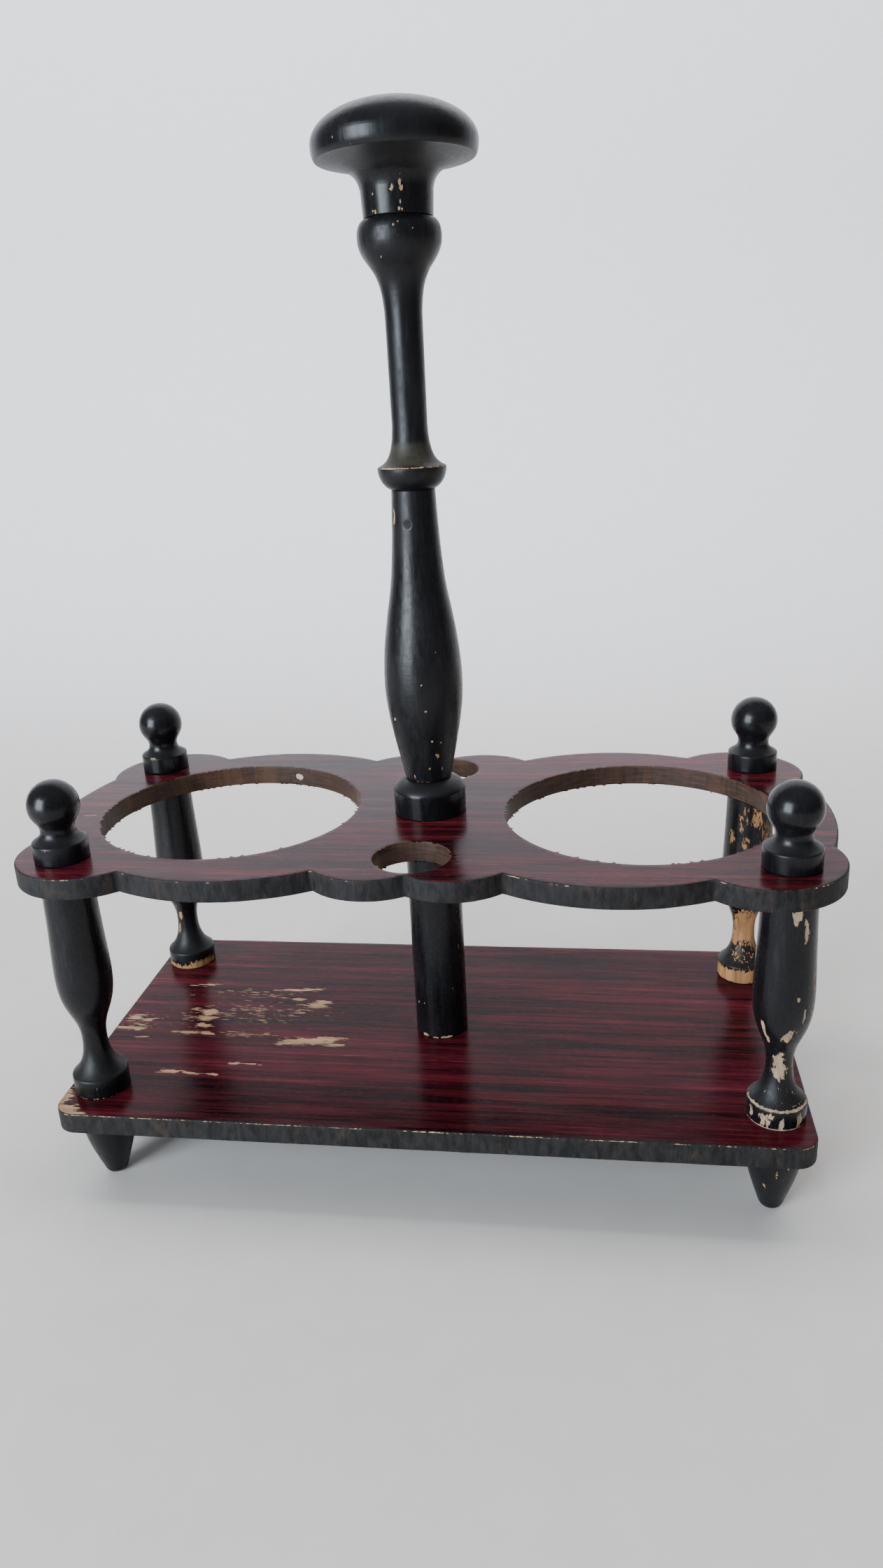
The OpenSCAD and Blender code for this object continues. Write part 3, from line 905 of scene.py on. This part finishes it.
def stained_wall(name, seed):
    """Bare, brown-stained wood inside a hole, with cutter marks."""
    s = Shader(name)
    marks = s.noise(800, 4, (1, 1, 6), seed)
    layers = s.noise(1100, 3, (9, 9, 1), seed + 1)
    cloud = s.noise(55, 2, (1, 1, 2), seed + 2)
    tone = s.math("ADD", s.math("MULTIPLY", marks, 0.5), s.math("MULTIPLY", layers, 0.5))
    colour = s.colours(tone, (0.35, (0.010, 0.0052, 0.0036)), (0.66, (0.066, 0.030, 0.0165)))
    colour = s.blend(s.ramp(cloud, 0.55, 0.72, 0, 0.4), colour, (0.125, 0.060, 0.030))
    chips, halo = chip_mask(s, 900, (1, 1, 8), 0.22)
    colour = s.blend(s.math("MULTIPLY", halo, 0.4), colour, (0.22, 0.115, 0.055))
    colour = s.blend(chips, colour, (0.50, 0.40, 0.30))
    return s.finish(colour, s.ramp(marks, 0.3, 0.7, 0.5, 0.72), ((marks, 0.00018), (layers, 0.00012)))


def dowel_wood(name, seed):
    """Plain beech dowel with grain along Z."""
    s = Shader(name)
    wood = raw_wood(s, (1, 1, 16), (0.62, 0.43, 0.25), (0.42, 0.26, 0.14))
    grain = s.noise(900, 3, (1, 1, 14), seed)
    return s.finish(wood, s.ramp(grain, 0.3, 0.7, 0.5, 0.68), ((grain, 0.00006),))


def dull_steel(name, seed, tint, metallic=0.85, matt=0.0):
    """Old steel with a little rust and fine scratches, rougher by matt."""
    s = Shader(name, metallic=metallic)
    scratches = s.noise(2400, 3, (6, 1, 1), seed)
    rust = s.ramp(s.noise(600, 4, (1, 1, 1), seed + 1), 0.55, 0.7)
    colour = s.blend(s.math("MULTIPLY", rust, 0.5), tint, (0.11, 0.055, 0.03))
    rough = s.ramp(scratches, 0.3, 0.7, 0.32 + matt, 0.55 + matt)
    return s.finish(colour, rough, ((scratches, 0.00003),))


# ---------------------------------------------------------------- the object

def centre_of(node):
    low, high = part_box(node)
    return (low + high) / 2


def make_boards():
    edge = edge_paint("edge_paint", 4.0)
    wall = stained_wall("hole_wall", 6.0)
    shelf_face = red_lacquer("top_board_lacquer", 11.0)
    base_face = red_lacquer("base_board_lacquer", 3.0, 1.2, 1.18)
    corners = [centre_of("post_" + corner) / MM for corner in CORNERS]
    tenons = [(c.x, c.y, TENON_R + GAP, 0) for c in corners]
    shelf_holes = [
        (-80, 0, BOTTLE_R, 0), (80, 0, BOTTLE_R, 0),
        (0, -46.6, CRUET_R, 0), (0, 46.6, CRUET_R, 0),
        (0, 0, 7.1, 0),
    ]
    shelf = board("top_board_piece", "top_board", shelf_holes + tenons, SHELF_WEAR, 21, 0.32)
    settle(shelf, "top_board", (shelf_face, edge, wall, edge))
    base = board("base_board_piece", "base_board", tenons + [(0, 0, 2.1, 0.75)], BASE_WEAR, 8, 0.48)
    settle(base, "base_board", (base_face, edge, wall, edge))


def make_corners():
    paints = {
        "front_left": black_paint("post_paint_front_left", 0.18, 31.0, 0.35),
        "front_right": black_paint(
            "post_paint_front_right", 0.18, 37.0, 0.4, bare=(0.38, 0.275, 0.18),
        ),
        "back_left": black_paint(
            "post_paint_back_left", 0.20, 41.0, 0.4, bare=(0.34, 0.185, 0.08),
        ),
        "back_right": black_paint(
            "post_paint_back_right", 0.20, 43.0, 0.4, bare=(0.36, 0.185, 0.075),
        ),
    }
    finial_paint = black_paint("finial_paint", 0.22, 51.0, 0.15, relief=0.35)
    foot_paint = black_paint("foot_paint", 0.28, 53.0, 0.5)
    for i, corner in enumerate(CORNERS):
        centre = centre_of("post_" + corner)
        post = turned(
            "post_%s_piece" % corner, post_profile(), centre, BASE_HIGH.z,
            POST_WEAR[corner], 60 + i, ((6.0, 16, 3),),
        )
        settle(post, "post_" + corner, (paints[corner],))
        finial = turned(
            "finial_%s_piece" % corner, finial_profile(), centre, SHELF_HIGH.z,
            FINIAL_WEAR[corner], 70 + i, ((7.2, 9.5, 1),),
        )
        settle(finial, "finial_" + corner, (finial_paint,))
        foot = turned(
            "foot_%s_piece" % corner, foot_profile(), centre, 0.0,
            FOOT_WEAR[corner], 80 + i, ((-2, 3, 1),),
        )
        settle(foot, "foot_" + corner, (foot_paint,))


def make_handle():
    centre = Vector((0, 0, 0))
    top = SHELF_HIGH.z
    column_paint = black_paint("column_paint", 0.15, 91.0, 0.6)
    collar_paint = black_paint("collar_paint", 0.18, 92.0, 0.25, relief=0.5)
    grip_paint = black_paint("grip_paint", 0.25, 93.0, 0.5)
    shaft_paint = black_paint("shaft_paint", 0.30, 94.0, 0.5, (0.028, 0.025, 0.019))
    # The knob's band tone is a painted sheen: paler grey under the rim, standing in for a grazing
    # reflection.
    knob_paint = black_paint("knob_paint", 0.24, 95.0, 0.25, (0.016, 0.0158, 0.0165), relief=0.5)
    pieces = (
        ("column", column_profile(), BASE_HIGH.z, COLUMN_WEAR, (), (), column_paint, 144),
        ("collar", collar_profile(), top, COLLAR_WEAR, ((9.8, 15, 0.5),), (), collar_paint, 160),
        ("grip", grip_profile(), top, GRIP_WEAR, (), ((*GRIP_BRAD, 1.4, 0.2),), grip_paint, 192),
        ("shaft", shaft_profile(), top, SHAFT_WEAR, ((128.3, 136, 1.2),), (), shaft_paint, 160),
        # The band from 219 to 223 mm under the knob is painted sheen, not dust.
        ("knob", knob_profile(), top, KNOB_WEAR, ((219, 223, 1.2),), (), knob_paint, 208),
    )
    for i, (node, profile, base, wear, dust_and_sheen_bands, pits, paint, segments) in enumerate(pieces):
        piece = turned(
            node + "_piece", profile, centre, base, wear, 90 + i, dust_and_sheen_bands, pits, segments, HANDLE_STEP,
        )
        settle(piece, node, (paint,))


def dress_fasteners():
    """Materials for the CAD nodes that are shown as they are."""
    dowel = dowel_wood("dowel_wood", 2.0)
    steel = dull_steel("screw_steel", 5.0, (0.42, 0.41, 0.39))
    brad = dull_steel("brad_steel", 7.0, (0.010, 0.010, 0.012), 0.2, 0.3)
    for node, material in (
        ("handle_dowel", dowel), ("knob_dowel", dowel), ("column_screw", steel), ("shaft_brad", brad),
    ):
        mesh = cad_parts[node].data
        mesh.materials.clear()
        mesh.materials.append(material)


# ---------------------------------------------------------------- camera, light and stage

LENS, SENSOR = 24.82, 36  # mm
CAMERA_PLACE = (0.0649, -0.3877, 0.2857)
CAMERA_TURN, CAMERA_TILT, CAMERA_ROLL = 8.82, 70.48, -2.91  # degrees
WALL_Y = 1.05  # the backdrop is this far behind the object
BEND = 0.5  # radius of the curve between the floor and the backdrop


def make_camera():
    """The camera that the photo was fitted with."""
    data = bpy.data.cameras.new("camera")
    data.lens = LENS
    data.sensor_width = SENSOR
    camera = bpy.data.objects.new("camera", data)
    bpy.context.scene.collection.objects.link(camera)
    turn = Matrix.Rotation(math.radians(CAMERA_TURN), 4, "Z")
    tilt = Matrix.Rotation(math.radians(CAMERA_TILT), 4, "X")
    roll = Matrix.Rotation(math.radians(CAMERA_ROLL), 4, "Z")
    camera.matrix_world = Matrix.Translation(CAMERA_PLACE) @ turn @ tilt @ roll
    bpy.context.scene.camera = camera


def area_light(name, place, target, width, height, power, colour, mirrored=True):
    """A rectangular light that faces the target. One that isn't mirrored leaves no reflection."""
    data = bpy.data.lights.new(name, "AREA")
    data.shape = "RECTANGLE"
    data.size = width
    data.size_y = height
    data.energy = power
    data.color = colour
    light = bpy.data.objects.new(name, data)
    light.location = place
    light.visible_glossy = mirrored
    light.rotation_euler = (Vector(target) - Vector(place)).to_track_quat("-Z", "Y").to_euler()
    bpy.context.scene.collection.objects.link(light)


def make_lights():
    """A tall two-pane window at the front left, a ceiling light and a light on the backdrop."""
    window = Vector((-1.16, -1.48, 0.64))
    side = Vector((0.79, -0.61, 0))
    inwards = Vector((0.58, 0.74, -0.10))
    daylight = (0.82, 0.91, 1.0)
    for name, sign in (("window_left", -1), ("window_right", 1)):
        pane = window + side * 0.25 * sign
        area_light(name, pane, pane + inwards, 0.42, 1.24, 42, daylight)
    area_light("ceiling", (0.1, -0.1, 1.7), (0, 0.1, 0), 1.6, 1.2, 5, (1.0, 0.99, 0.98), False)
    area_light(
        "backdrop_light", (0, 0.10, 1.9), (0, WALL_Y, 0.45), 2.6, 0.5, 41, (1.0, 0.995, 1.0), False,
    )
    make_room()


def make_room():
    """A dim grey world, about three times brighter overhead."""
    world = bpy.data.worlds.new("room")
    bpy.context.scene.world = world
    world.use_nodes = True
    nodes, links = world.node_tree.nodes, world.node_tree.links
    direction = nodes.new("ShaderNodeTexCoord")
    parts = nodes.new("ShaderNodeSeparateXYZ")
    level = nodes.new("ShaderNodeMapRange")
    level.inputs["From Min"].default_value = -0.1
    level.inputs["From Max"].default_value = 0.9
    level.inputs["To Min"].default_value = 0.13
    level.inputs["To Max"].default_value = 0.42
    links.new(direction.outputs["Generated"], parts.inputs[0])
    links.new(parts.outputs["Z"], level.inputs["Value"])
    links.new(level.outputs["Result"], nodes["Background"].inputs["Strength"])
    nodes["Background"].inputs["Color"].default_value = (0.97, 0.98, 1.0, 1)


def make_stage():
    """A plain floor that curves up into a paler backdrop well behind the object."""
    half_width = 2.2
    steps = 24
    path = [(-2.2, 0), (WALL_Y - BEND, 0)]
    for i in range(1, steps + 1):
        angle = math.radians(90 * i / steps)
        path.append((WALL_Y - BEND + BEND * math.sin(angle), BEND - BEND * math.cos(angle)))
    path.append((WALL_Y, 2.4))
    verts = [(x, y, z) for y, z in path for x in (-half_width, half_width)]
    faces = [(2 * i, 2 * i + 1, 2 * i + 3, 2 * i + 2) for i in range(len(path) - 1)]
    mesh = bpy.data.meshes.new("backdrop")
    mesh.from_pydata(verts, [], faces)
    mesh.shade_smooth()
    stage = bpy.data.objects.new("backdrop", mesh)
    bpy.context.scene.collection.objects.link(stage)
    s = Shader("backdrop_paint")
    plaster = s.noise(60, 3)
    wall = s.colours(plaster, (0.3, (0.80, 0.795, 0.81)), (0.7, (0.82, 0.815, 0.835)))
    floor = s.colours(plaster, (0.3, (0.52, 0.50, 0.48)), (0.7, (0.54, 0.52, 0.50)))
    parts = s.node("ShaderNodeSeparateXYZ")
    s.plug(s.place, parts.inputs[0])
    rise = s.ramp(parts.outputs["Y"], 0.10, WALL_Y)
    mesh.materials.append(s.finish(s.blend(rise, floor, wall), 0.75, ()))


make_camera()
make_stage()
make_lights()
make_boards()
make_corners()
make_handle()
dress_fasteners()
